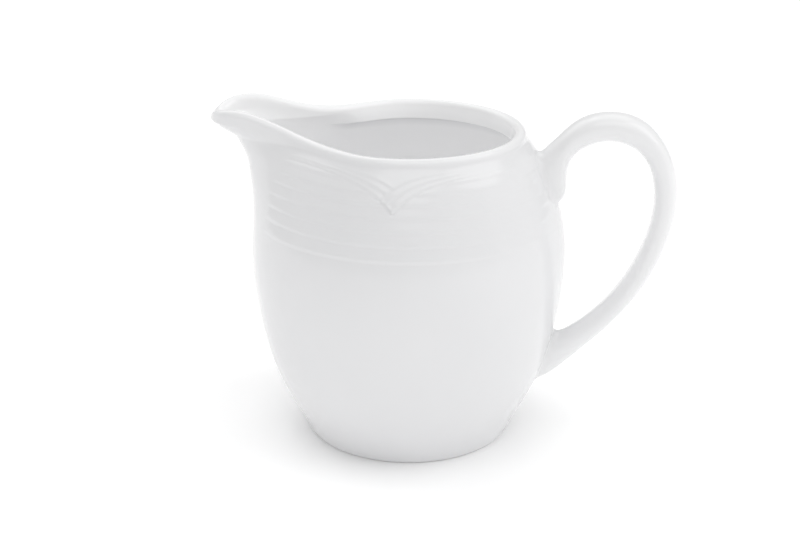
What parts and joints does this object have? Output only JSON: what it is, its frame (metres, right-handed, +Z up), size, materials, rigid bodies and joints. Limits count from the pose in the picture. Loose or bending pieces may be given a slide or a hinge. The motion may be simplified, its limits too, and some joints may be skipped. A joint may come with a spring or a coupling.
{
  "type": "porcelain cream jug",
  "caption": "White glazed porcelain cream jug with a rounded body on a narrow foot, a pulled pouring spout opposite a tall loop handle, and a low ribbed band under the lip.",
  "frame": {"origin": "centre of the foot ring's underside, on the surface that the jug stands on", "axes": "+Z up along the body's axis; +X towards the handle, so the spout points towards -X; +Y completes a right-handed frame, and the jug mirrors on itself through the XZ plane"},
  "size_m": [0.1231, 0.084, 0.0899],
  "materials": {
    "glazed_porcelain": "white clear-glazed hard porcelain, smooth and glossy, with an unglazed foot ring",
    "fired_slip": "fired luting slip of the same porcelain under the same glaze"
  },
  "bodies": {
    "root": {"jug_body": "glazed_porcelain", "handle": "glazed_porcelain", "upper_slip_joint": "fired_slip", "lower_slip_joint": "fired_slip"}
  },
  "joints": []
}
